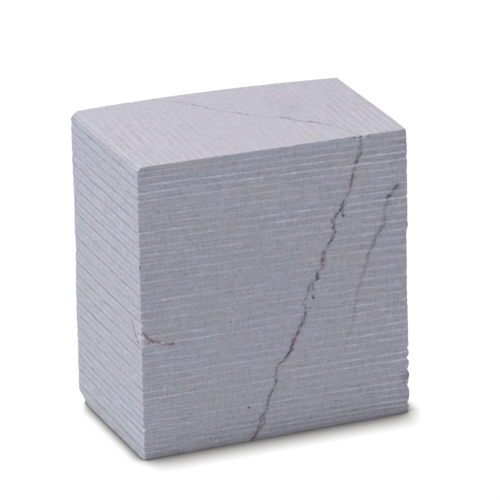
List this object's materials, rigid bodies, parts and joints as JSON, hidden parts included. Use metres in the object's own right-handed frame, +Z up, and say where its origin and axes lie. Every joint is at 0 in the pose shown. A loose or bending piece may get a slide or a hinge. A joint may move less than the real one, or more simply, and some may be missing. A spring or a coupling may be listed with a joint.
{
  "type": "soapstone carving block",
  "caption": "Sawn rectangular block of blue-grey soapstone for hand carving, standing on its end, with saw ledges across its faces and dark mineral veins",
  "frame": {"origin": "centre of the base, on the surface that the block stands on", "axes": "+Z up along the block's height, +X to the right along the broad front face, +Y from the front face to the back face, through the thickness"},
  "size_m": [0.0956, 0.0624, 0.1011],
  "materials": {
    "soapstone": "as sawn: dull, faintly waxy blue-grey, with chalky light ledges"
  },
  "bodies": {
    "root": {"soapstone_block": "soapstone"}
  },
  "joints": []
}
